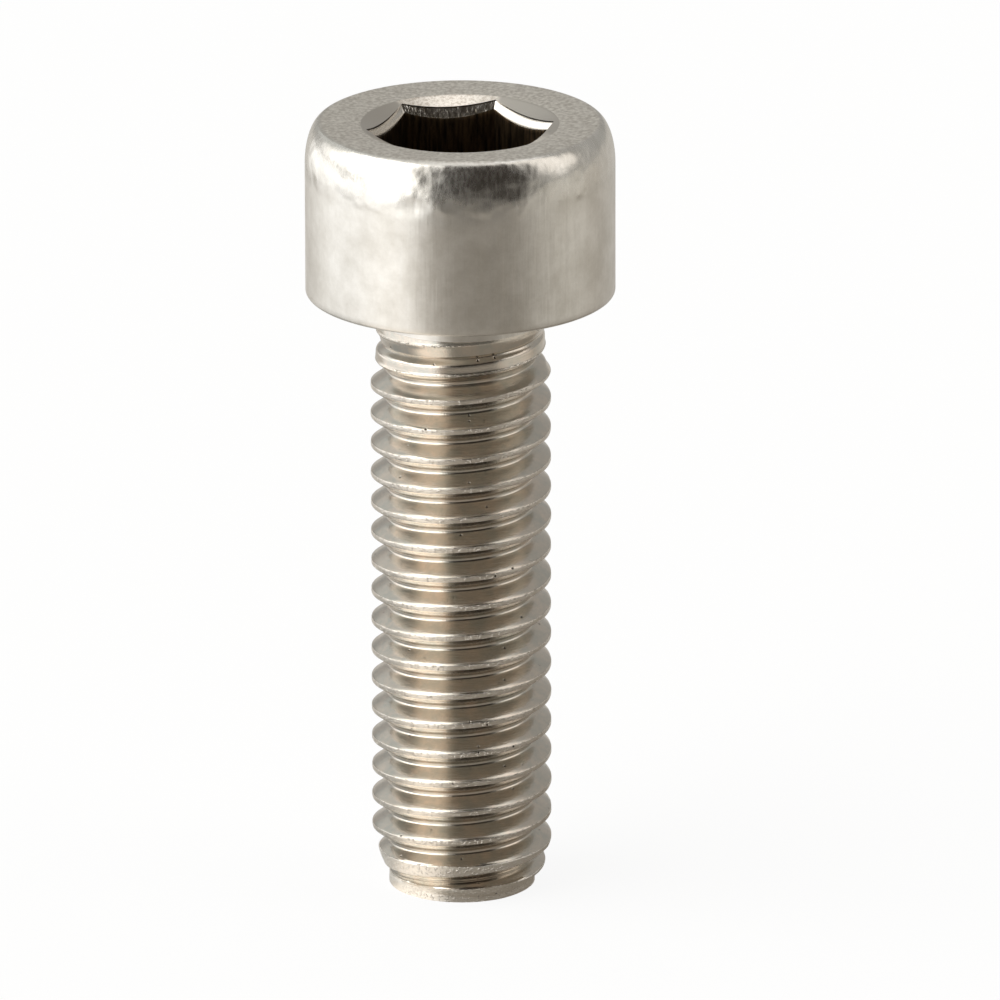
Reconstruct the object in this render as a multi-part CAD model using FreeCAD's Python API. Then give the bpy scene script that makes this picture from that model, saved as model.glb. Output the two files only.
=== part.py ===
import FreeCAD, Part
import math
import os

# A hexagon socket head cap screw, M6 x 1 by 20: one piece of stainless wire, its head and socket
# cold forged and its right-hand thread rolled. Millimetres, +Z up along the axis.
# It stands on its tip, whose middle is the origin, with the head on top.

# Thread: a metric 60 degree V, its crests a little under the nominal size and its root cut flat
nominal_diameter = 6.0
pitch = 1.0
flank_angle = 30.0             # of each flank, from square to the axis
crest_allowance = 0.075        # how far the crests stay inside the nominal radius
thread_depth = 0.42
crest_height_at_x = 0.473      # the lowest crest on the +X side, above the tip

# Shank
shank_length = 20.1            # from the tip to the underside of the head
neck_over_pitch_line = 0.045   # the plain neck is this much larger in radius than the pitch line
neck_taper = 0.02              # and this much thinner in radius by the time it meets the head
neck_fillet = 0.25
point_radius = 2.33            # of the flat end
point_bevel = 0.25             # 45 degrees, round the flat end
lead_in_length = 1.6           # from the flat end up to the first crest of full height

# Where the thread runs out, measured down from the underside of the head
crest_fade_from = 2.5          # the crests start to sink into the neck
crest_fade_to = 1.7
groove_fade_from = 2.45        # the groove's floor starts to rise to the neck
groove_fade_to = 1.1

# Head
head_diameter = 10.0
head_height = 5.7
underside_bevel = 0.1
crown_width = 0.54             # the rounded top edge, measured across the top face
crown_drop = 1.4               # and measured down the side

# Hexagon socket
across_flats = 5.05
socket_depth = 3.2             # of the flats, from the top face
socket_turn = 8.0              # degrees from +X to the nearest corner
mouth_margin = 0.454           # from a corner of the hexagon out to the rim of the conical mouth
mouth_slope = 24.3             # degrees below level
end_cone_slope = 30.0          # of the cone that the socket ends in, degrees below level

crown_steps = 4                # a rounded edge is this many narrow cones
fillet_steps = 2
arcs_per_turn = 8              # of the curves that a helix is made of
reach = 0.5                    # how far a cutting shape goes past what it cuts

axis = FreeCAD.Vector(0, 0, 1)
centre = FreeCAD.Vector(0, 0, 0)
head_radius = head_diameter / 2
head_top = shank_length + head_height
flank_rise = math.tan(math.radians(flank_angle))
triangle_height = pitch / (2 * flank_rise)
pitch_line_radius = nominal_diameter / 2 - triangle_height * 3 / 8
crest_radius = nominal_diameter / 2 - crest_allowance
root_radius = crest_radius - thread_depth
neck_radius = pitch_line_radius + neck_over_pitch_line


def at(radius, height):
    """A point of an outline, in the plane of +X and the axis."""
    return FreeCAD.Vector(radius, 0, height)


def turned(*points):
    """The solid swept round the axis by the outline through these points."""
    return Part.Face(Part.makePolygon(points + points[:1])).revolve(centre, axis, 360)


def rounded(start, corner, end, steps):
    """Points along the quarter ellipse from start to end that turns inside the corner."""
    middle = start + end - corner
    turns = [math.pi / 2 * step / steps for step in range(steps + 1)]
    return [middle + (start - middle) * math.cos(turn) + (end - middle) * math.sin(turn)
            for turn in turns]


def blank():
    """The outside of the screw without its thread. The shank is wide enough to leave its crests."""
    room = crest_radius + reach
    lead_in = lead_in_length - point_bevel
    lead_in_rise = lead_in / (crest_radius - point_radius - point_bevel)
    fade_rise = (crest_fade_from - crest_fade_to) / (crest_radius - neck_radius)
    neck_end = neck_radius - neck_taper
    fillet = rounded(at(neck_end, shank_length - neck_fillet), at(neck_end, shank_length),
                     at(neck_end + neck_fillet, shank_length), fillet_steps)
    crown = rounded(at(head_radius, head_top - crown_drop), at(head_radius, head_top),
                    at(head_radius - crown_width, head_top), crown_steps)
    return turned(at(0, 0),
                  at(point_radius, 0),
                  at(point_radius + point_bevel, point_bevel),
                  at(room, lead_in_length + reach * lead_in_rise),
                  at(room, shank_length - crest_fade_from - reach * fade_rise),
                  at(neck_radius, shank_length - crest_fade_to),
                  *fillet,
                  at(head_radius - underside_bevel, shank_length),
                  at(head_radius, shank_length + underside_bevel),
                  *crown,
                  at(0, head_top))


def core():
    """What has no thread in it: a cone that the groove runs out on, and all above it."""
    rise = (groove_fade_from - groove_fade_to) / (neck_radius - root_radius)
    foot = shank_length - groove_fade_from
    brim = shank_length - groove_fade_to + neck_taper * rise
    return turned(at(0, foot - reach * rise), at(root_radius - reach, foot - reach * rise),
                  at(neck_radius + neck_taper, brim), at(head_radius + reach, brim),
                  at(head_radius + reach, head_top + reach), at(0, head_top + reach))


def helix(radius, height):
    """One turn of a right-hand helix, from the height over +X, as an edge of cubic arcs."""
    step = 2 * math.pi / arcs_per_turn
    handle = 4 / 3 * math.tan(step / 4)
    rise = pitch / arcs_per_turn
    poles = [at(radius, height)]
    for arc in range(arcs_per_turn):
        first, last = (FreeCAD.Rotation(axis, math.degrees(step * end)).multVec(at(radius, 0))
                       for end in (arc, arc + 1))
        level = height + rise * arc
        poles += [first + axis.cross(first) * handle + axis * (level + rise / 3),
                  last - axis.cross(last) * handle + axis * (level + rise * 2 / 3),
                  last + axis * (level + rise)]
    curve = Part.BSplineCurve()
    curve.buildFromPolesMultsKnots(poles, [4] + [3] * (arcs_per_turn - 1) + [4],
                                   list(range(arcs_per_turn + 1)), False, 3)
    return curve.toShape()


def threaded_bar():
    """A bar with nothing but thread on it, from below the tip to inside the head."""
    half_crest = pitch / 4 - (crest_radius - pitch_line_radius) * flank_rise
    half_root = half_crest + thread_depth * flank_rise
    profile = [at(root_radius, half_root - pitch), at(root_radius, -half_root),
               at(crest_radius, -half_crest), at(crest_radius, half_crest),
               at(root_radius, half_root)]
    first = math.floor(-crest_height_at_x / pitch) - 1
    last = math.ceil((shank_length - crest_height_at_x) / pitch) + 1
    crests = [crest_height_at_x + pitch * turn for turn in range(first, last + 1)]

    faces = [Part.makeRuledSurface(helix(low.x, crest + low.z), helix(high.x, crest + high.z))
             for crest in crests[:-1] for low, high in zip(profile, profile[1:])]
    for crest in crests[0], crests[-1]:
        foot, top = at(0, crest + profile[0].z), at(0, crest + profile[-1].z)
        edge = [point + axis * crest for point in profile]
        faces.append(Part.Face(Part.makePolygon([foot, *edge, top, foot])))
        faces.append(Part.makeRuledSurface(Part.makeLine(foot, top), helix(edge[0].x, edge[0].z)))
    shell = Part.makeShell(faces)
    shell.sewShape()
    return Part.makeSolid(shell)


def socket():
    """The hexagon, the cone round its mouth and the cone it ends in."""
    corner_radius = across_flats / 2 / math.cos(math.pi / 6)
    mouth_radius = corner_radius + mouth_margin
    mouth_fall = math.tan(math.radians(mouth_slope))
    end_fall = math.tan(math.radians(end_cone_slope))
    floor = head_top - socket_depth
    corners = [FreeCAD.Rotation(axis, socket_turn + 60 * corner).multVec(at(corner_radius, floor))
               for corner in range(7)]
    hexagon = Part.Face(Part.makePolygon(corners)).extrude(axis * (socket_depth + reach))
    mouth = turned(at(0, head_top - mouth_radius * mouth_fall),
                   at(mouth_radius + reach, head_top + reach * mouth_fall),
                   at(0, head_top + reach * mouth_fall))
    end_radius = across_flats / 2
    end_cone = turned(at(0, floor - end_radius * end_fall), at(end_radius, floor), at(0, floor))
    return hexagon.fuse([mouth, end_cone])


screw = blank().common(threaded_bar().fuse(core())).cut(socket())

os.makedirs("parts", exist_ok=True)
screw.Solids[0].exportStep("parts/cylinder_head_screw.step")
print("cylinder_head_screw", len(screw.Solids), "solid", screw.isValid(), screw.Volume)
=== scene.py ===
import math

import bmesh
import bpy
import numpy as np
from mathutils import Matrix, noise


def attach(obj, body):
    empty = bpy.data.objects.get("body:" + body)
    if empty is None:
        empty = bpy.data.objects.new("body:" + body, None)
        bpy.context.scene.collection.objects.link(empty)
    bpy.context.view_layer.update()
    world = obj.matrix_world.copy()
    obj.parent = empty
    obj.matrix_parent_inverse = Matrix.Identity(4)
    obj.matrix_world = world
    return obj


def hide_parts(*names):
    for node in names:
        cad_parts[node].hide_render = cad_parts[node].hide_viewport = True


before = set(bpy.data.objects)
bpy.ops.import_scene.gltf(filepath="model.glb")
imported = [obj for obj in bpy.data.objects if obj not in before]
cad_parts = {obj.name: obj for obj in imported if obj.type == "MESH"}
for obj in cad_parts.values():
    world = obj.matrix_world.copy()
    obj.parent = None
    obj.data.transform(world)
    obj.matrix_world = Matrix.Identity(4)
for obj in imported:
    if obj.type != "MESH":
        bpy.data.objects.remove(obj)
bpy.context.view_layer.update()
mm = 0.001
hair = 0.0001 * mm             # nearer than this is the same place

# A hexagon socket head cap screw, M6 by 20, in stainless steel: forged head, rolled thread.
# Every length in the dictionaries is in millimetres, and heights are above the tip.

camera = {
    "distance": 600.0,
    "elevation": 18.23,        # degrees that it looks down
    "roll": -0.123,
    "aim": (1.261, 0.0, 12.971),
    "lens": 667.46,
    "sensor": 36.0,
    "clip": (0.01, 20.0),      # metres
}


def placeCamera():
    data = bpy.data.cameras.new("camera")
    data.sensor_width = camera["sensor"]
    data.lens = camera["lens"]
    data.clip_start, data.clip_end = camera["clip"]
    view = bpy.data.objects.new("camera", data)
    bpy.context.collection.objects.link(view)
    down = math.radians(camera["elevation"])
    view.location = (camera["aim"][0] * mm,
                     (camera["aim"][1] - camera["distance"] * math.cos(down)) * mm,
                     (camera["aim"][2] + camera["distance"] * math.sin(down)) * mm)
    view.rotation_mode = "ZYX"     # the roll turns it first, about its own line of sight
    view.rotation_euler = (math.pi / 2 - down, 0, math.radians(camera["roll"]))
    bpy.context.scene.camera = view


def selectOnly(thing):
    bpy.ops.object.select_all(action="DESELECT")
    thing.select_set(True)
    bpy.context.view_layer.objects.active = thing


surfaces = ("forged", "mouth", "strip", "socket", "rolled")    # the screw's material slots


# The shank: one turn's outline, screwed up the axis, then brought to the lead-in and the run-out

shank = {
    "pitch": 1.0,
    "crestHeightAtX": 0.473,       # of the lowest crest, on the +X side
    "pitchLineRadius": 2.66,
    "flankAngle": 33.5,            # a little open and hollow, as the dies leave it
    "flankHollow": 0.012,
    "crestRadius": 2.925,
    "rootRound": 0.115,
    "crestRound": 0.06,
    "rootSteps": 5,
    "flankSteps": 6,
    "crestSteps": 3,
    "columns": 96,
    "crestBand": 0.03,             # how deep the matt surface of the crests goes
    "uneven": 0.02,                # how far the crests stand in and out, and over what distance
    "unevenSize": 0.45,
    "leadIn": ((-1.0, 2.31), (0.1, 2.31), (0.36, 2.53), (0.75, 2.68), (1.22, 2.80),
               (1.72, 2.925)),     # heights, and the radius the crests are cut down to there
    "leadTop": 3.0,                # the lead-in's shape ends well below this
    "leadTilt": 0.25,              # how much later the thread starts at the left than in front
    "endBevel": (0.36, 0.55, -15), # the cropped end leans in at one side: how far, how high,
                                   # and where, in degrees round from +X
    "endBevelPower": 3,            # by which it dies away round the tip
    "tipFolds": ((0.30, 0.03, 0.035), (0.46, 0.035, 0.035), (0.62, 0.03, 0.035)),
    "tipFoldTo": (0.85, 1.1),      # folds: above the crest, depth, half width
    "crestFade": ((17.4, 2.925), (17.6, 2.78), (18.0, 2.745), (18.4, 2.725), (19.0, 2.716),
                  (19.85, 2.70)),  # the run-out, as the lead-in
    "roundOff": ((17.4, 0.0), (17.6, 0.08), (18.9, 0.08), (19.2, 0.0)),   # how softly it fades
    "foldFrom": (17.75, 18.0),     # where the crest is no longer filled, folds run beside it
    "foldTo": (18.9, 19.2),
    "folds": ((0.37, 0.04, 0.06), (0.84, -0.03, 0.05)),    # the second stands out, as a burr
    "grooveFade": ((17.65, 2.38), (19.0, 2.716), (19.85, 2.70)),    # how the groove fills up
    "top": 19.2,
    "end": ((1.95, 0.0), (1.5, 0.02), (0.9, 0.05), (0.1, 0.06)),    # the cropped end's hollow:
                                                                    # radii and heights
}


def threadOutline():
    flank = math.radians(shank["flankAngle"])
    slope = math.tan(flank)
    half = shank["pitch"] / 2
    apex = shank["pitchLineRadius"] - half / 2 / slope
    middle = apex + shank["rootRound"] / math.sin(flank)
    points = []
    rootSteps, flankSteps, crestSteps = shank["rootSteps"], shank["flankSteps"], shank["crestSteps"]
    for step in range(rootSteps + 1):      # from the bottom of the root up to the flank
        turn = (math.pi / 2 - flank) * step / rootSteps
        points.append((middle - shank["rootRound"] * math.cos(turn),
                       -half + shank["rootRound"] * math.sin(turn)))
    crestHalf = half / 2 - (shank["crestRadius"] - shank["pitchLineRadius"]) * slope
    back = shank["crestRound"] * math.tan((math.pi / 2 - flank) / 2)
    flankTop = (shank["crestRadius"] - back * math.cos(flank),
                -crestHalf - back * math.sin(flank))
    start = points[-1]
    for step in range(1, flankSteps):
        part = step / flankSteps
        sag = shank["flankHollow"] * 4 * part * (1 - part)
        points.append((start[0] + (flankTop[0] - start[0]) * part - sag * slope,
                       start[1] + (flankTop[1] - start[1]) * part - sag))
    for step in range(crestSteps + 1):     # round the edge of the crest
        turn = (math.pi / 2 - flank) * (crestSteps - step) / crestSteps
        points.append((shank["crestRadius"] - shank["crestRound"] * (1 - math.cos(turn)),
                       -crestHalf + back - shank["crestRound"] * math.sin(turn)))
    upper = [(radius, -height) for radius, height in reversed(points)]
    return points + [(shank["crestRadius"], 0.0)] + upper


def giveMaterials(thing):
    for material in materials:
        thing.data.materials.append(material)


def profileLine(name, points):
    bpy.ops.mesh.primitive_circle_add(vertices=len(points), radius=mm)
    line = bpy.context.object
    line.name = name
    mesh = bmesh.new()
    mesh.from_mesh(line.data)
    mesh.verts.ensure_lookup_table()
    for vertex, (radius, height) in zip(mesh.verts, points):
        vertex.co = (radius * mm, 0, height * mm)
    closing = mesh.edges.get((mesh.verts[0], mesh.verts[-1]))
    bmesh.ops.delete(mesh, geom=[closing], context="EDGES")
    mesh.to_mesh(line.data)
    mesh.free()
    return line


def cylindrical(mesh):
    flat = np.empty(len(mesh.vertices) * 3)
    mesh.vertices.foreach_get("co", flat)
    points = flat.reshape(-1, 3) / mm
    x, y, z = points.T
    return np.hypot(x, y), np.arctan2(y, x), z


def setCylindrical(mesh, radius, angle, height):
    points = np.column_stack((radius * np.cos(angle), radius * np.sin(angle), height)) * mm
    mesh.vertices.foreach_set("co", points.ravel())
    mesh.update()


def makeShank():
    turns = math.ceil(shank["top"] / shank["pitch"]) + 2
    start = shank["crestHeightAtX"] - 2 * shank["pitch"]
    outline = [(radius, start + height) for radius, height in threadOutline()]
    bar = profileLine("shank", outline)
    screw = bar.modifiers.new("thread", "SCREW")
    screw.axis = "Z"
    screw.angle = math.tau
    screw.screw_offset = shank["pitch"] * mm
    screw.iterations = turns
    screw.steps = shank["columns"]
    screw.render_steps = shank["columns"]
    selectOnly(bar)
    bpy.ops.object.modifier_apply(modifier=screw.name)
    bpy.ops.object.mode_set(mode="EDIT")
    bpy.ops.mesh.select_all(action="SELECT")
    bpy.ops.mesh.remove_doubles(threshold=5 * hair)
    bpy.ops.object.mode_set(mode="OBJECT")

    radius, angle, height = cylindrical(bar.data)
    leadIn = height < shank["leadTop"]
    slant = shank["leadTilt"] * np.cos(angle) * leadIn
    most = np.interp(height + slant, *zip(*(shank["leadIn"] + shank["crestFade"])))
    bevel, bevelTop, bevelAt = shank["endBevel"]
    bevelled = np.clip(np.cos(angle - math.radians(bevelAt)), 0, 1) ** shank["endBevelPower"]
    most -= bevel * bevelled * np.clip(1 - height / bevelTop, 0, 1)
    least = np.interp(height, *zip(*shank["grooveFade"]))
    soft = np.interp(height, *zip(*shank["roundOff"])) + 1e-6      # never nothing, to divide by
    near = np.clip(1 - np.abs(radius - most) / soft, 0, 1)
    radius = np.minimum(radius, most) - near ** 2 * soft / 4
    near = np.clip(1 - np.abs(radius - least) / soft, 0, 1)
    radius = np.maximum(radius, least) + near ** 2 * soft / 4
    offset = (height - shank["crestHeightAtX"] - shank["pitch"] * angle / math.tau) % shank["pitch"]
    faded = (np.interp(height, shank["foldFrom"], (0, 1))
             * np.interp(height, shank["foldTo"], (1, 0)))
    for above, depth, half in shank["folds"]:
        radius -= faded * depth * np.exp(-((offset - above) / half) ** 2)
    fading = np.interp(height, shank["tipFoldTo"], (1, 0))
    for above, depth, half in shank["tipFolds"]:
        radius -= fading * depth * np.exp(-((offset - above) / half) ** 2)
    edge = np.where(leadIn, most, shank["crestRadius"])
    burr = faded * np.exp(-((offset - shank["folds"][1][0]) / shank["folds"][1][2]) ** 2)
    crest = np.clip((radius - edge) / shank["crestBand"] + 1, 0, 1)
    crest = np.maximum(crest, burr)
    uneven = [noise.noise(vertex.co / (shank["unevenSize"] * mm)) for vertex in bar.data.vertices]
    radius -= shank["uneven"] * crest * (1 + np.array(uneven)) / 2
    setCylindrical(bar.data, radius, angle, height)
    worn = bar.data.attributes.new("crest", "FLOAT", "POINT")
    worn.data.foreach_set("value", crest.astype(np.float32))

    bpy.ops.object.mode_set(mode="EDIT")
    bpy.ops.mesh.select_all(action="SELECT")
    bpy.ops.mesh.bisect(plane_co=(0, 0, 0), plane_no=(0, 0, 1), clear_inner=True, threshold=hair)
    bpy.ops.mesh.select_all(action="SELECT")
    bpy.ops.mesh.bisect(plane_co=(0, 0, shank["top"] * mm), plane_no=(0, 0, 1), clear_outer=True,
                        threshold=hair)
    bpy.ops.object.mode_set(mode="OBJECT")
    giveMaterials(bar)
    for face in bar.data.polygons:
        face.material_index = surfaces.index("rolled")
    print("shank", len(bar.data.vertices))
    return bar


# The head: rings drawn up from the neck, over the rounded top edge and down into the socket

head = {
    "columns": 192,
    "neckFrom": 19.3,
    "neckRadius": 2.714,
    "neckTop": 2.70,
    "neckSteps": 3,
    "fillet": 0.25,
    "filletSteps": 8,
    "underside": 20.1,
    "undersideBevel": 0.1,
    "bevelSteps": 4,
    "undersideRings": (3.4, 4.1, 4.7),
    "radius": 5.0,
    "top": 25.8,
    "crownWidth": 0.54,            # the rounded edge: how far in and how far down it goes
    "crownDrop": 1.4,
    "crownSteps": 22,
    "sideSteps": 24,
    "knocked": (-1, 2.9, 0.75, 0.1),   # where the edge is flattened: degrees round from the
                                       # front, half width, how much further down and in it goes
    "dents": (                     # degrees round from the front, height, half width, half
        (20, 24.9, 0.9, 0.35, 0.02),       # height, depth
        (-18, 24.35, 0.5, 0.28, 0.035),
        (-30, 24.7, 0.8, 0.35, 0.015),
        (31, 24.3, 0.6, 0.3, 0.015),
    ),
    "dish": ((4.25, 0.004), (3.9, 0.018), (3.55, 0.042), (3.3, 0.064)),    # radii and drops
    "socketTurn": 8.0,             # degrees
    "acrossFlats": 5.05,
    "mouthRadius": 3.2,
    "mouthDrop": 0.075,
    "mouthSlope": 24.3,            # degrees
    "mouthSteps": 8,
    "stripDrop": (0.30, 0.22),     # at the middle of a flat, and at a corner
    "stripMargin": 0.13,
    "stripSteps": 3,
    "lip": (0.03, 0.05),           # an undercut line under the cone: how deep, how tall
    "lipAt": (188, 30),            # the flat that has it: azimuth and half width
    "lipRings": (0.25, 0.75, 1),   # shares of its height
    "socketDepth": 3.2,
    "wallRings": (0.05, 0.3, 0.6, 1),      # shares of the way down the flats
    "endConeSlope": 30.0,          # degrees
    "endConeRings": (1.7, 0.8, 0.1),
    "smoothUnder": 32.0,           # degrees, of the whole screw
}


def flatRadius(angle):
    sixth = math.pi / 3
    off = (angle - math.radians(head["socketTurn"])) % sixth - sixth / 2
    return head["acrossFlats"] / 2 / math.cos(off), off


def awayFrom(azimuth, angle):          # millimetres round the head's side
    return ((angle - math.radians(azimuth - 90) + math.pi) % math.tau - math.pi) * head["radius"]


def undercut(angle):
    azimuth, half = head["lipAt"]
    return abs(awayFrom(azimuth, angle)) < math.radians(half) * head["radius"]


def crownAt(angle, turn):
    azimuth, width, further, inward = head["knocked"]
    knocked = math.exp(-(awayFrom(azimuth, angle) / width) ** 2)
    drop = head["crownDrop"] + further * knocked
    inward = (head["crownWidth"] + inward * knocked) * (1 - math.cos(turn))
    return dented(head["radius"] - inward, angle, head["top"] - drop * (1 - math.sin(turn)))


def dented(radius, angle, height):
    for azimuth, middle, width, drop, depth in head["dents"]:
        across = awayFrom(azimuth, angle) / width
        radius -= depth * math.exp(-across * across - ((height - middle) / drop) ** 2)
    return radius, height


def headRings():
    rings = []

    def ringAt(radius, height, surface="forged"):
        rings.append((surface, lambda angle: (radius, height)))

    neckHeight = head["underside"] - head["fillet"] - head["neckFrom"]
    for step in range(1, head["neckSteps"] + 1):
        part = step / head["neckSteps"]
        ringAt(head["neckRadius"] + (head["neckTop"] - head["neckRadius"]) * part,
               head["neckFrom"] + neckHeight * part)
    for step in range(1, head["filletSteps"] + 1):
        turn = math.pi / 2 * step / head["filletSteps"]
        ringAt(head["neckTop"] + head["fillet"] * (1 - math.cos(turn)),
               head["underside"] - head["fillet"] * (1 - math.sin(turn)))
    for radius in head["undersideRings"]:
        ringAt(radius, head["underside"])
    bevel = head["undersideBevel"]
    for step in range(head["bevelSteps"] + 1):
        turn = math.pi / 2 * step / head["bevelSteps"]
        ringAt(head["radius"] - bevel * (1 - math.sin(turn)),
               head["underside"] + bevel * (1 - math.cos(turn)))
    sideFrom = head["underside"] + bevel

    def side(part):
        def ring(angle):
            height = sideFrom + (crownAt(angle, 0)[1] - sideFrom) * part
            return dented(head["radius"], angle, height)
        return ring

    def crown(turn):
        return lambda angle: crownAt(angle, turn)

    for step in range(1, head["sideSteps"]):
        rings.append(("forged", side(step / head["sideSteps"])))
    for step in range(head["crownSteps"] + 1):
        rings.append(("forged", crown(math.pi / 2 * step / head["crownSteps"])))
    for radius, drop in head["dish"]:
        ringAt(radius, head["top"] - drop)

    fall = math.tan(math.radians(head["mouthSlope"]))

    def mouth(part):
        def ring(angle):
            flat = flatRadius(angle)[0] + head["stripMargin"]
            radius = head["mouthRadius"] + (flat - head["mouthRadius"]) * part
            return radius, head["top"] - head["mouthDrop"] - (head["mouthRadius"] - radius) * fall
        return ring

    rings.append(("forged", mouth(0)))
    for step in range(1, head["mouthSteps"] + 1):
        rings.append(("mouth", mouth(step / head["mouthSteps"])))

    def strip(part):
        def ring(angle):
            flat, off = flatRadius(angle)
            edge, height = mouth(1)(angle)
            corner = (abs(off) / (math.pi / 6)) ** 2
            drop = head["stripDrop"][0] + (head["stripDrop"][1] - head["stripDrop"][0]) * corner
            return edge + (flat - edge) * part, height - head["lip"][1] - drop * part
        return ring

    def lip(part):
        def ring(angle):
            edge, height = mouth(1)(angle)
            deep = head["lip"][0] if undercut(angle) else 0
            return edge + deep * math.sin(math.pi * part), height - head["lip"][1] * part
        return ring

    for part in head["lipRings"]:
        rings.append(("lip", lip(part)))
    for step in range(1, head["stripSteps"] + 1):
        rings.append(("strip", strip(step / head["stripSteps"])))

    floor = head["top"] - head["socketDepth"]

    def wall(part):
        def ring(angle):
            flat, height = strip(1)(angle)
            return flat, height + (floor - height) * part
        return ring

    for part in head["wallRings"]:
        rings.append(("socket", wall(part)))
    endRadius = head["acrossFlats"] / 2
    endFall = math.tan(math.radians(head["endConeSlope"]))
    for radius in (endRadius, *head["endConeRings"]):
        ringAt(radius, floor - (endRadius - radius) * endFall, "socket")
    return rings


def drawRing(thing, ring):
    bpy.ops.mesh.extrude_region_move()
    mesh = bmesh.from_edit_mesh(thing.data)
    for vertex in mesh.verts:
        if vertex.select:
            angle = math.atan2(vertex.co.y, vertex.co.x)
            radius, height = ring(angle)
            vertex.co = (radius * math.cos(angle) * mm, radius * math.sin(angle) * mm, height * mm)
    bmesh.update_edit_mesh(thing.data)


def makeHead():
    bpy.ops.mesh.primitive_circle_add(vertices=head["columns"], radius=head["neckRadius"] * mm,
                                      location=(0, 0, head["neckFrom"] * mm),
                                      rotation=(0, 0, math.radians(head["socketTurn"])))
    top = bpy.context.object
    top.name = "head"
    selectOnly(top)
    bpy.ops.object.transform_apply(location=True, rotation=True, scale=True)
    bpy.ops.object.mode_set(mode="EDIT")
    bpy.ops.mesh.select_all(action="SELECT")
    rings = headRings()
    for surface, ring in rings:
        drawRing(top, ring)
    bpy.ops.mesh.edge_face_add()
    bpy.ops.object.mode_set(mode="OBJECT")
    giveMaterials(top)
    for face in top.data.polygons:
        row = min(face.index // head["columns"], len(rings) - 1)
        surface = rings[row][0]
        if surface == "lip":
            angle = math.atan2(face.center.y, face.center.x)
            surface = "socket" if undercut(angle) else "strip"
        face.material_index = surfaces.index(surface)
    print("head", len(top.data.vertices))
    return top


def joinScrew(shankPart, headPart):
    selectOnly(headPart)
    shankPart.select_set(True)
    bpy.ops.object.join()
    whole = bpy.context.object
    whole.name = "cylinderHeadScrew"
    bpy.ops.object.mode_set(mode="EDIT")
    bpy.ops.mesh.select_mode(type="EDGE")
    bpy.ops.mesh.select_all(action="DESELECT")
    mesh = bmesh.from_edit_mesh(whole.data)
    for edge in mesh.edges:
        if edge.is_boundary and min(v.co.z for v in edge.verts) > shank["top"] / 2 * mm:
            edge.select = True
    bmesh.update_edit_mesh(whole.data)
    bpy.ops.mesh.bridge_edge_loops()
    bpy.ops.mesh.select_all(action="DESELECT")
    mesh = bmesh.from_edit_mesh(whole.data)
    for edge in mesh.edges:
        if edge.is_boundary:
            edge.select = True
    bmesh.update_edit_mesh(whole.data)
    for radius, height in shank["end"]:
        drawRing(whole, lambda angle: (radius, height))
    bpy.ops.mesh.edge_face_add()
    bpy.ops.mesh.select_all(action="SELECT")
    bpy.ops.mesh.normals_make_consistent(inside=False)
    bpy.ops.object.mode_set(mode="OBJECT")
    bpy.ops.object.shade_smooth_by_angle(angle=math.radians(head["smoothUnder"]))
    print("screw", len(whole.data.vertices))
    return whole


def linear(code, level=1.0):
    values = [int(code[place:place + 2], 16) / 255 for place in (1, 3, 5)]
    return tuple(level * (v / 12.92 if v <= 0.04045 else ((v + 0.055) / 1.055) ** 2.4)
                 for v in values) + (1,)


def addNode(tree, kind, inputs, **settings):
    made = tree.nodes.new(kind)
    for name, value in settings.items():
        setattr(made, name, value)
    for name, value in inputs.items():
        if isinstance(value, bpy.types.NodeSocket):
            tree.links.new(value, made.inputs[name])
        else:
            made.inputs[name].default_value = value
    return made


def across(tree, along, azimuth, inner, outer):     # 1 near an azimuth, 0 away from it
    turn = math.radians(azimuth)
    near = addNode(tree, "ShaderNodeVectorMath", {0: along, 1:
                   (math.sin(turn), -math.cos(turn), 0)}, operation="DOT_PRODUCT")
    return addNode(tree, "ShaderNodeMapRange", {"Value": near.outputs["Value"], "From Min":
                   math.cos(math.radians(outer)), "From Max": math.cos(math.radians(inner))},
                   interpolation_type="SMOOTHSTEP").outputs[0]


def levelled(tree, place):
    flat = addNode(tree, "ShaderNodeVectorMath", {0: place, 1: (1, 1, 0)}, operation="MULTIPLY")
    return addNode(tree, "ShaderNodeVectorMath", {0: flat.outputs[0]},
                   operation="NORMALIZE").outputs[0]


def startSteel(name):
    material = bpy.data.materials.new(name)
    material.use_nodes = True
    shader = material.node_tree.nodes["Principled BSDF"]
    shader.inputs["Metallic"].default_value = 1
    place = addNode(material.node_tree, "ShaderNodeTexCoord", {}).outputs["Object"]
    return material, material.node_tree, shader, place


# Stainless steel A2, cold forged and then tumbled with others like it: satin sides with a faint
# grain up and down, a top edge knocked smooth and glossy in blotches, a matt pebbled top face.
# The grain and the pebbles are drawn a few times as coarse as real ones, so that they show.

forged = {
    "pale": "#e5e2dc",
    "grey": "#d0ccc4",
    "topFace": ("#c0bab1", "#e2ded6"),
    "mottle": 1.4,                     # size of the patches
    "grain": (0.09, 0.09, 1.6),        # streaks up and down the side, and their depth
    "grainDepth": 0.0035,
    "sideRoughness": 0.36,
    "edgeRoughness": 0.26,
    "topRoughness": 0.5,
    "roughnessVaries": 0.05,           # more or less of it along the grain
    "edge": (24.0, 24.75),             # heights between which the satin turns glossy
    "edgeWanders": 0.45,               # up and down
    "face": (4.62, 4.42),              # radii between which the gloss turns matt, on the top
    "faceAbove": 25.0,                 # and not below this height
    "blotch": (0.8, 0.05),             # size and depth of the knocks on the edge
    "dimple": (0.2, 0.0035),           # and of smaller ones
    "pebble": (0.13, 0.008),           # and of the pebbles on the top face
    "contrast": (0.35, 0.65),          # levels of a pattern that are darkest and palest
    "grainContrast": (0.3, 0.7),
}


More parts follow.
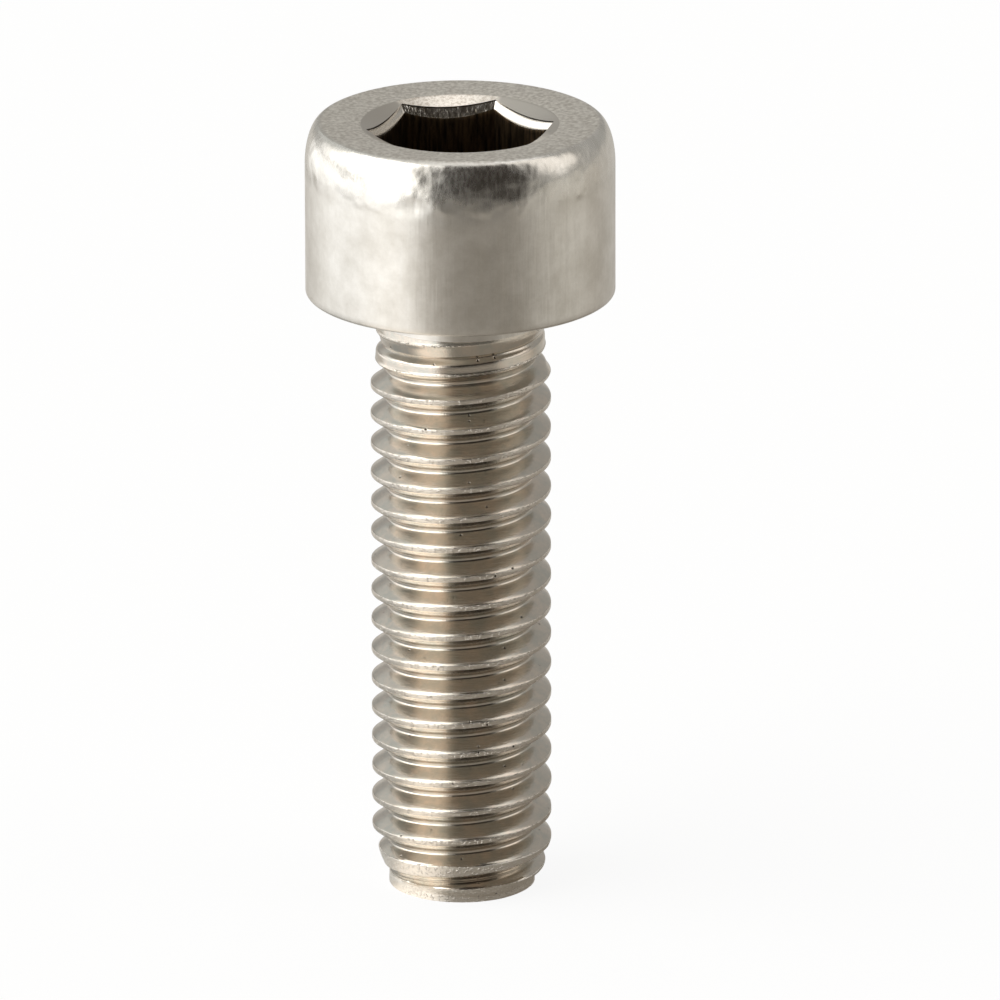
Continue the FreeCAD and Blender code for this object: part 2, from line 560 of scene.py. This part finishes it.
def forgedSteel():
    material, tree, shader, place = startSteel("tumbledStainlessSteel")
    apart = addNode(tree, "ShaderNodeSeparateXYZ", {"Vector": place})
    flat = addNode(tree, "ShaderNodeVectorMath", {0: place, 1: (1, 1, 0)}, operation="MULTIPLY")
    radius = addNode(tree, "ShaderNodeVectorMath", {0: flat.outputs[0]}, operation="LENGTH")
    blotch = addNode(tree, "ShaderNodeTexNoise", {"Vector": place, "Detail": 1.5,
                     "Scale": 1 / (forged["blotch"][0] * mm)})
    wander = forged["edgeWanders"]
    shift = addNode(tree, "ShaderNodeMath", {0: blotch.outputs[0], 1: 2 * wander * mm,
                    2: apart.outputs["Z"]}, operation="MULTIPLY_ADD")
    low, high = forged["edge"]
    edge = addNode(tree, "ShaderNodeMapRange", {"Value": shift.outputs[0], "From Min":
                   (low + wander) * mm, "From Max": (high + wander) * mm},
                   interpolation_type="SMOOTHSTEP")
    outer, inner = forged["face"]
    top = addNode(tree, "ShaderNodeMapRange", {"Value": radius.outputs["Value"], "From Min":
                  inner * mm, "From Max": outer * mm, "To Min": 1.0, "To Max": 0.0},
                  interpolation_type="SMOOTHSTEP")
    high = addNode(tree, "ShaderNodeMath", {0: apart.outputs["Z"], 1: forged["faceAbove"] * mm},
                   operation="GREATER_THAN")
    top = addNode(tree, "ShaderNodeMath", {0: top.outputs[0], 1: high.outputs[0]},
                  operation="MULTIPLY").outputs[0]
    mottle = addNode(tree, "ShaderNodeTexNoise", {"Vector": place, "Detail": 6, "Roughness": 0.7,
                     "Scale": 1 / (forged["mottle"] * mm)})
    stretched = addNode(tree, "ShaderNodeVectorMath", {0: place, 1:
                        [1 / (size * mm) for size in forged["grain"]]}, operation="MULTIPLY")
    grain = addNode(tree, "ShaderNodeTexNoise", {"Vector": stretched.outputs[0], "Detail": 2,
                    "Scale": 1.0})
    low, high = forged["contrast"]
    tone = addNode(tree, "ShaderNodeMapRange", {"Value": mottle.outputs[0], "From Min": low,
                   "From Max": high})
    colour = addNode(tree, "ShaderNodeMix", {0: tone.outputs[0], 6: linear(forged["grey"]),
                     7: linear(forged["pale"])}, data_type="RGBA")
    pebble = addNode(tree, "ShaderNodeTexNoise", {"Vector": place, "Detail": 3,
                     "Scale": 1 / (forged["pebble"][0] * mm)})
    darker, paler = forged["topFace"]
    speckle = addNode(tree, "ShaderNodeMapRange", {"Value": pebble.outputs[0], "From Min": low,
                      "From Max": high})
    speckle = addNode(tree, "ShaderNodeMix", {0: speckle.outputs[0], 6: linear(darker),
                      7: linear(paler)}, data_type="RGBA")
    colour = addNode(tree, "ShaderNodeMix", {0: top, 6: colour.outputs[2],
                     7: speckle.outputs[2]}, data_type="RGBA")
    tree.links.new(colour.outputs[2], shader.inputs["Base Color"])
    rough = addNode(tree, "ShaderNodeMix", {0: edge.outputs[0], 2: forged["sideRoughness"],
                    3: forged["edgeRoughness"]})
    rough = addNode(tree, "ShaderNodeMix", {0: top, 2: rough.outputs[0],
                    3: forged["topRoughness"]})
    low, high = forged["grainContrast"]
    uneven = addNode(tree, "ShaderNodeMapRange", {"Value": grain.outputs[0], "From Min": low,
                     "From Max": high, "To Min": -forged["roughnessVaries"],
                     "To Max": forged["roughnessVaries"]})
    rough = addNode(tree, "ShaderNodeMath", {0: rough.outputs[0], 1: uneven.outputs[0]},
                    operation="ADD")
    tree.links.new(rough.outputs[0], shader.inputs["Roughness"])

    dimple = addNode(tree, "ShaderNodeTexNoise", {"Vector": place, "Detail": 2,
                     "Scale": 1 / (forged["dimple"][0] * mm)})
    knocks = addNode(tree, "ShaderNodeMath", {0: blotch.outputs[0], 1: forged["blotch"][1]},
                     operation="MULTIPLY")
    knocks = addNode(tree, "ShaderNodeMath", {0: dimple.outputs[0], 1: forged["dimple"][1],
                     2: knocks.outputs[0]}, operation="MULTIPLY_ADD")
    fine = addNode(tree, "ShaderNodeMath", {0: grain.outputs[0], 1: forged["grainDepth"]},
                   operation="MULTIPLY")
    pebbles = addNode(tree, "ShaderNodeMath", {0: pebble.outputs[0], 1: forged["pebble"][1]},
                      operation="MULTIPLY")
    height = addNode(tree, "ShaderNodeMix", {0: edge.outputs[0], 2: fine.outputs[0],
                     3: knocks.outputs[0]})
    height = addNode(tree, "ShaderNodeMix", {0: top, 2: height.outputs[0], 3: pebbles.outputs[0]})
    bump = addNode(tree, "ShaderNodeBump", {"Height": height.outputs[0], "Distance": mm})
    tree.links.new(bump.outputs[0], shader.inputs["Normal"])
    return material


# The cone round the socket: the same steel, coined by the punch, which leaves it smooth and grey,
# and finely grained at the flat that faces the camera, painted pale there as a painted reflection.
# The grain is drawn coarser than real.

mouth = {
    # the grain's two tones are paler than the smooth cone: a painted reflection at the flat facing
    # the camera
    "pale": "#fdf5ea",
    "grey": "#d8cdbf",
    "smooth": "#c6c0b7",
    "grainedAndSheen": (188, 29, 34),           # where it is grained and painted pale as a painted reflection: azimuth, half width inside and outside
                                       # outside
    "grain": (0.10, 0.005),            # size and depth
    "contrast": (0.38, 0.55),          # levels of the grain that are darkest and palest
    "roughness": 0.3,
}


def mouthSteel():
    material, tree, shader, place = startSteel("coinedStainlessSteel")
    grain = addNode(tree, "ShaderNodeTexNoise", {"Vector": place, "Detail": 3, "Roughness": 0.7,
                    "Scale": 1 / (mouth["grain"][0] * mm)})
    low, high = mouth["contrast"]
    tone = addNode(tree, "ShaderNodeMapRange", {"Value": grain.outputs[0], "From Min": low,
                   "From Max": high})
    colour = addNode(tree, "ShaderNodeMix", {0: tone.outputs[0], 6: linear(mouth["grey"]),
                     7: linear(mouth["pale"])}, data_type="RGBA")
    # the flat facing the camera, grained and painted pale: a painted reflection
    grainedAndSheen = across(tree, levelled(tree, place), *mouth["grainedAndSheen"])
    colour = addNode(tree, "ShaderNodeMix", {0: grainedAndSheen, 6: linear(mouth["smooth"]),
                     7: colour.outputs[2]}, data_type="RGBA")
    tree.links.new(colour.outputs[2], shader.inputs["Base Color"])
    shader.inputs["Roughness"].default_value = mouth["roughness"]
    height = addNode(tree, "ShaderNodeMath", {0: grain.outputs[0], 1: mouth["grain"][1]},
                     operation="MULTIPLY")
    bump = addNode(tree, "ShaderNodeBump", {"Height": height.outputs[0], "Distance": mm})
    tree.links.new(bump.outputs[0], shader.inputs["Normal"])
    return material


# The top of the socket's walls: the same steel, burnished bright by the punch as it entered, and
# scored up and down at one flat

strip = {
    "pale": "#f4f0e9",
    "dark": "#a39a8c",
    "smooth": "#d9d5ce",
    "score": (0.09, 0.09, 1.5),        # the scores' width and length, and depth
    "depth": 0.03,
    "scored": (188, 29, 32),           # azimuth, half width inside and outside
    "contrast": (0.4, 0.58),           # levels of the scores that are darkest and palest
    "roughness": 0.25,
}


def stripSteel():
    material, tree, shader, place = startSteel("punchedStainlessSteel")
    stretched = addNode(tree, "ShaderNodeVectorMath", {0: place, 1:
                        [1 / (size * mm) for size in strip["score"]]}, operation="MULTIPLY")
    score = addNode(tree, "ShaderNodeTexNoise", {"Vector": stretched.outputs[0], "Detail": 2,
                    "Scale": 1.0})
    low, high = strip["contrast"]
    tone = addNode(tree, "ShaderNodeMapRange", {"Value": score.outputs[0], "From Min": low,
                   "From Max": high})
    scored = across(tree, levelled(tree, place), *strip["scored"])
    colour = addNode(tree, "ShaderNodeMix", {0: tone.outputs[0], 6: linear(strip["dark"]),
                     7: linear(strip["pale"])}, data_type="RGBA")
    colour = addNode(tree, "ShaderNodeMix", {0: scored, 6: linear(strip["smooth"]),
                     7: colour.outputs[2]}, data_type="RGBA")
    tree.links.new(colour.outputs[2], shader.inputs["Base Color"])
    shader.inputs["Roughness"].default_value = strip["roughness"]
    height = addNode(tree, "ShaderNodeMath", {0: score.outputs[0], 1: strip["depth"]},
                     operation="MULTIPLY")
    height = addNode(tree, "ShaderNodeMath", {0: height.outputs[0], 1: scored},
                     operation="MULTIPLY")
    bump = addNode(tree, "ShaderNodeBump", {"Height": height.outputs[0], "Distance": mm})
    tree.links.new(bump.outputs[0], shader.inputs["Normal"])
    return material


# Inside the socket: the same steel, torn by the punch and matt. Its nearly black and brown colour
# is painted shade, for the shade deep in the socket.

socket = {
    # the brown and the black are painted shade
    "brown": "#66543f",
    "black": "#2a241d",
    "score": (0.12, 0.12, 0.9),        # width and length of the tears, and depth
    "depth": 0.01,
    "contrast": (0.35, 0.68),          # levels of the tears that are darkest and palest
    "roughness": 0.42,
}


def socketSteel():
    material, tree, shader, place = startSteel("paintedShadeSocketSteel")
    stretched = addNode(tree, "ShaderNodeVectorMath", {0: place, 1:
                        [1 / (size * mm) for size in socket["score"]]}, operation="MULTIPLY")
    score = addNode(tree, "ShaderNodeTexNoise", {"Vector": stretched.outputs[0], "Detail": 4,
                    "Scale": 1.0})
    low, high = socket["contrast"]
    tone = addNode(tree, "ShaderNodeMapRange", {"Value": score.outputs[0], "From Min": low,
                   "From Max": high})
    # painted shade: the socket's steel coloured between nearly black and brown
    colour = addNode(tree, "ShaderNodeMix", {0: tone.outputs[0], 6: linear(socket["black"]),
                     7: linear(socket["brown"])}, data_type="RGBA")
    tree.links.new(colour.outputs[2], shader.inputs["Base Color"])
    shader.inputs["Roughness"].default_value = socket["roughness"]
    height = addNode(tree, "ShaderNodeMath", {0: score.outputs[0], 1: socket["depth"]},
                     operation="MULTIPLY")
    bump = addNode(tree, "ShaderNodeBump", {"Height": height.outputs[0], "Distance": mm})
    tree.links.new(bump.outputs[0], shader.inputs["Normal"])
    return material


# The thread: the same steel squeezed between rolling dies, so the flanks are burnished, warmer
# and faintly streaked along the thread, and the crests, which the dies never touch, stay matt.
# Streaks, grain and grit are drawn a few times as coarse as real ones, so that they show.

rolled = {
    "warm": "#d7ccbf",
    "cool": "#c4c1b8",
    "crest": "#dcd5cb",
    "end": ("#ebe6de", 0.45),          # the cropped end's colour and roughness
    "endTo": (1.9, 1.6),               # heights between which the crests turn to that
    "mottle": 0.9,                     # size of the warm and the cool patches
    "mottleContrast": (0.38, 0.62),    # levels of them that are coolest and warmest
    "streak": (0.7, 0.7, 0.035),       # along the thread and across it
    "streakDepth": 0.0012,
    "streakContrast": (0.35, 0.65),    # levels of them that are glossiest and least glossy
    "grain": (0.05, 0.0024),           # size and depth
    "roughness": (0.15, 0.25),
    "crestRoughness": 0.3,
    "grit": (0.06, 0.012),             # size and height of the roughness on the crests
    "speck": (0.08, 0.035),            # and of the burrs and knocks there
    "speckFrom": (0.55, 0.66),         # levels of that pattern where a burr starts and is full
    "ragged": (0.9, 0.85, 1.15),       # how far the grit frays the crests' border, and the levels
                                       # between which the border is then drawn
    "pit": 0.28,                       # spacing of the places for small pits, painted dark as painted shade
    "pitRadius": (0.07, 0.2),          # inside and outside, as shares of the spacing
    "pitRare": 0.93,                   # this share of the places has none
    "pitDepth": 0.02,
    "pitPaintedShade": "#3a332c",
}


def rolledSteel():
    material, tree, shader, place = startSteel("rolledStainlessSteel")
    mottle = addNode(tree, "ShaderNodeTexNoise", {"Vector": place, "Detail": 5, "Roughness": 0.8,
                     "Scale": 1 / (rolled["mottle"] * mm)})
    stretched = addNode(tree, "ShaderNodeVectorMath", {0: place, 1:
                        [1 / (size * mm) for size in rolled["streak"]]}, operation="MULTIPLY")
    streak = addNode(tree, "ShaderNodeTexNoise", {"Vector": stretched.outputs[0], "Detail": 2,
                     "Scale": 1.0})
    grit = addNode(tree, "ShaderNodeTexNoise", {"Vector": place, "Detail": 2,
                   "Scale": 1 / (rolled["grit"][0] * mm)})
    speck = addNode(tree, "ShaderNodeTexNoise", {"Vector": place, "Detail": 1,
                    "Scale": 1 / (rolled["speck"][0] * mm)})
    pit = addNode(tree, "ShaderNodeTexVoronoi", {"Vector": place, "Scale":
                  1 / (rolled["pit"] * mm)})
    crest = addNode(tree, "ShaderNodeAttribute", {}, attribute_name="crest").outputs["Fac"]
    fray, low, high = rolled["ragged"]
    ragged = addNode(tree, "ShaderNodeMath", {0: grit.outputs[0], 1: fray, 2: crest},
                     operation="MULTIPLY_ADD")
    crest = addNode(tree, "ShaderNodeMapRange", {"Value": ragged.outputs[0], "From Min": low,
                    "From Max": high}, interpolation_type="SMOOTHSTEP").outputs[0]

    low, high = rolled["mottleContrast"]
    tone = addNode(tree, "ShaderNodeMapRange", {"Value": mottle.outputs[0], "From Min": low,
                   "From Max": high})
    colour = addNode(tree, "ShaderNodeMix", {0: tone.outputs[0], 6: linear(rolled["cool"]),
                     7: linear(rolled["warm"])}, data_type="RGBA")
    colour = addNode(tree, "ShaderNodeMix", {0: crest, 6: colour.outputs[2],
                     7: linear(rolled["crest"])}, data_type="RGBA")
    endColour, endRoughness = rolled["end"]
    endFrom, endTo = rolled["endTo"]
    apart = addNode(tree, "ShaderNodeSeparateXYZ", {"Vector": place})
    end = addNode(tree, "ShaderNodeMapRange", {"Value": apart.outputs["Z"], "From Min":
                  endFrom * mm, "From Max": endTo * mm})
    end = addNode(tree, "ShaderNodeMath", {0: end.outputs[0], 1: crest}, operation="MULTIPLY")
    colour = addNode(tree, "ShaderNodeMix", {0: end.outputs[0], 6: colour.outputs[2],
                     7: linear(endColour)}, data_type="RGBA")
    inner, outer = rolled["pitRadius"]
    hollow = addNode(tree, "ShaderNodeMapRange", {"Value": pit.outputs["Distance"], "From Min":
                     inner, "From Max": outer, "To Min": 1.0, "To Max": 0.0},
                     interpolation_type="SMOOTHSTEP")
    chosen = addNode(tree, "ShaderNodeSeparateColor", {"Color": pit.outputs["Color"]})
    chosen = addNode(tree, "ShaderNodeMath", {0: chosen.outputs[0], 1: rolled["pitRare"]},
                     operation="GREATER_THAN")
    hollow = addNode(tree, "ShaderNodeMath", {0: hollow.outputs[0], 1: chosen.outputs[0]},
                     operation="MULTIPLY").outputs[0]
    # the pits painted dark: painted shade in them
    colour = addNode(tree, "ShaderNodeMix", {0: hollow, 6: colour.outputs[2],
                     7: linear(rolled["pitPaintedShade"])}, data_type="RGBA")
    tree.links.new(colour.outputs[2], shader.inputs["Base Color"])

    low, high = rolled["streakContrast"]
    smooth, dull = rolled["roughness"]
    rough = addNode(tree, "ShaderNodeMapRange", {"Value": streak.outputs[0], "From Min": low,
                    "From Max": high, "To Min": smooth, "To Max": dull})
    rough = addNode(tree, "ShaderNodeMix", {0: crest, 2: rough.outputs[0],
                    3: rolled["crestRoughness"]})
    rough = addNode(tree, "ShaderNodeMix", {0: end.outputs[0], 2: rough.outputs[0],
                    3: endRoughness})
    tree.links.new(rough.outputs[0], shader.inputs["Roughness"])

    low, high = rolled["speckFrom"]
    burr = addNode(tree, "ShaderNodeMapRange", {"Value": speck.outputs[0], "From Min": low,
                   "From Max": high, "To Max": rolled["speck"][1]},
                   interpolation_type="SMOOTHSTEP")
    rubble = addNode(tree, "ShaderNodeMath", {0: grit.outputs[0], 1: rolled["grit"][1],
                     2: burr.outputs[0]}, operation="MULTIPLY_ADD")
    grain = addNode(tree, "ShaderNodeTexNoise", {"Vector": place, "Detail": 1,
                    "Scale": 1 / (rolled["grain"][0] * mm)})
    grain = addNode(tree, "ShaderNodeMath", {0: grain.outputs[0], 1: rolled["grain"][1]},
                    operation="MULTIPLY")
    fine = addNode(tree, "ShaderNodeMath", {0: streak.outputs[0], 1: rolled["streakDepth"],
                   2: grain.outputs[0]}, operation="MULTIPLY_ADD")
    height = addNode(tree, "ShaderNodeMix", {0: crest, 2: fine.outputs[0], 3: rubble.outputs[0]})
    height = addNode(tree, "ShaderNodeMath", {0: hollow, 1: -rolled["pitDepth"],
                     2: height.outputs[0]}, operation="MULTIPLY_ADD")
    bump = addNode(tree, "ShaderNodeBump", {"Height": height.outputs[0], "Distance": mm})
    tree.links.new(bump.outputs[0], shader.inputs["Normal"])
    return material


# The studio: what the metal has to reflect. Directions are degrees round from the front, to the
# right, and degrees up. A brightness of 1 is the white that the camera sees behind the screw.

studio = {
    "room": ("#fbf9f4", 0.43),
    "cards": (        # azimuth, its half width inside and outside, heights it starts and ends
                      # between, colour, brightness
        (180, 60, 110, 54, 70, 120, 121, "#ffffff", 1.5),
        (-128, 22, 38, 8, 20, 90, 100, "#f4f6f4", 0.78),
        (-116, 8, 22, -2, 6, 14, 28, "#ffffff", 1.6),
        (-72, 20, 50, 1, 12, 68, 78, "#fffefb", 3.0),
        (-48, 10, 26, -8, -2, 12, 24, "#fffefb", 3.0),
        (82, 10, 26, 4, 16, 66, 84, "#fffaf4", 1.3),
        (16, 28, 46, -4, 4, 74, 84, "#8a7f74", 0.14),
    ),
    "floor": ("#fff3e2", 0.45),
    "floorCards": (   # azimuth, its half width inside and outside, how far off it starts and is
                      # full, colour, brightness: one that is full nearer in fades outwards
        (0, 60, 100, 60, 45, "#fff1dd", 0.24),
        (14, 36, 60, 75, 110, "#fff1dd", 0.08),
        (180, 30, 80, 0, 5, "#fffaf2", 0.6),
        (-103, 12, 34, 60, 45, "#f9faf7", 0.42),
        (-47, 6, 36, 60, 45, "#fff6ea", 1.38),
        (-79, 38, 56, 45, 60, "#ffffff", 1.32),
        (-88, 46, 62, 80, 130, "#ffffff", 1.8),
        (80, 8, 38, 45, 60, "#fffaf0", 0.74),
        (95, 25, 50, 60, 45, "#fff1dd", 0.24),
    ),
    "paper": "#f4f4f2",                # what catches the screw's shadow
    "glow": 0.9,                       # share of its own light in what the eye and metal see of it
    "floorSize": 3.0,                  # metres
}


def makeWorld():
    world = bpy.data.worlds.new("studio")
    bpy.context.scene.world = world
    world.use_nodes = True
    tree = world.node_tree
    view = addNode(tree, "ShaderNodeTexCoord", {}).outputs["Generated"]
    apart = addNode(tree, "ShaderNodeSeparateXYZ", {"Vector": view})
    up = addNode(tree, "ShaderNodeMath", {0: apart.outputs["Z"]}, operation="ARCSINE").outputs[0]
    level = levelled(tree, view)
    light = addNode(tree, "ShaderNodeRGB", {})
    light.outputs[0].default_value = linear(*studio["room"])
    light = light.outputs[0]
    for azimuth, inner, outer, low, lowFull, highFull, high, colour, strength in studio["cards"]:
        start = addNode(tree, "ShaderNodeMapRange", {"Value": up, "From Min": math.radians(low),
                        "From Max": math.radians(lowFull)}, interpolation_type="SMOOTHSTEP")
        end = addNode(tree, "ShaderNodeMapRange", {"Value": up, "From Min": math.radians(highFull),
                      "From Max": math.radians(high), "To Min": 1.0, "To Max": 0.0},
                      interpolation_type="SMOOTHSTEP")
        card = addNode(tree, "ShaderNodeMath", {0: start.outputs[0], 1: end.outputs[0]},
                       operation="MULTIPLY")
        card = addNode(tree, "ShaderNodeMath", {0: card.outputs[0], 1:
                       across(tree, level, azimuth, inner, outer)}, operation="MULTIPLY")
        light = addNode(tree, "ShaderNodeMix", {0: card.outputs[0], 6: light,
                        7: linear(colour, strength)}, data_type="RGBA").outputs[2]
    tree.links.new(light, tree.nodes["Background"].inputs["Color"])


def floorCard():
    material = bpy.data.materials.new("whitePaper")
    material.use_nodes = True
    tree = material.node_tree
    tree.nodes.remove(tree.nodes["Principled BSDF"])
    place = addNode(tree, "ShaderNodeTexCoord", {}).outputs["Object"]
    away = addNode(tree, "ShaderNodeVectorMath", {0: place}, operation="NORMALIZE")
    light = addNode(tree, "ShaderNodeRGB", {})
    light.outputs[0].default_value = linear(*studio["floor"])
    light = light.outputs[0]
    far = addNode(tree, "ShaderNodeVectorMath", {0: place}, operation="LENGTH").outputs["Value"]
    for azimuth, inner, outer, start, full, colour, strength in studio["floorCards"]:
        off = addNode(tree, "ShaderNodeMapRange", {"Value": far, "From Min": start * mm,
                      "From Max": full * mm})
        card = addNode(tree, "ShaderNodeMath", {0: across(tree, away.outputs[0], azimuth, inner,
                       outer), 1: off.outputs[0]}, operation="MULTIPLY")
        light = addNode(tree, "ShaderNodeMix", {0: card.outputs[0], 6: light,
                        7: linear(colour, strength)}, data_type="RGBA").outputs[2]
    ray = addNode(tree, "ShaderNodeLightPath", {})
    light = addNode(tree, "ShaderNodeMix", {0: ray.outputs["Is Camera Ray"], 6: light,
                    7: (1, 1, 1, 1)}, data_type="RGBA").outputs[2]
    glow = addNode(tree, "ShaderNodeEmission", {"Color": light})
    paper = addNode(tree, "ShaderNodeBsdfDiffuse", {"Color": linear(studio["paper"])})
    shown = addNode(tree, "ShaderNodeMath", {0: ray.outputs["Is Camera Ray"],
                    1: ray.outputs["Is Glossy Ray"]}, operation="MAXIMUM")
    shown = addNode(tree, "ShaderNodeMath", {0: shown.outputs[0],
                    1: ray.outputs["Is Transmission Ray"]}, operation="MAXIMUM")
    share = addNode(tree, "ShaderNodeMath", {0: shown.outputs[0], 1: studio["glow"]},
                    operation="MULTIPLY")
    mixed = addNode(tree, "ShaderNodeMixShader", {0: share.outputs[0], 1: paper.outputs[0],
                    2: glow.outputs[0]})
    tree.links.new(mixed.outputs[0], tree.nodes["Material Output"].inputs["Surface"])
    return material


def makeStage():
    bpy.ops.mesh.primitive_plane_add(size=studio["floorSize"])
    floor = bpy.context.object
    floor.name = "floor"
    floor.data.materials.append(floorCard())
    print("studio", len(studio["cards"]), "cards,", len(studio["floorCards"]), "on the floor")


placeCamera()
materials = [forgedSteel(), mouthSteel(), stripSteel(), socketSteel(), rolledSteel()]
print("materials", ", ".join(material.name for material in materials))
shankPart = makeShank()
headPart = makeHead()
screw = joinScrew(shankPart, headPart)
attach(screw, "root")
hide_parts("cylinder_head_screw")
makeStage()
makeWorld()
bpy.context.scene.view_settings.view_transform = "Standard"

print("triangles", sum(len(face.vertices) - 2 for face in screw.data.polygons))
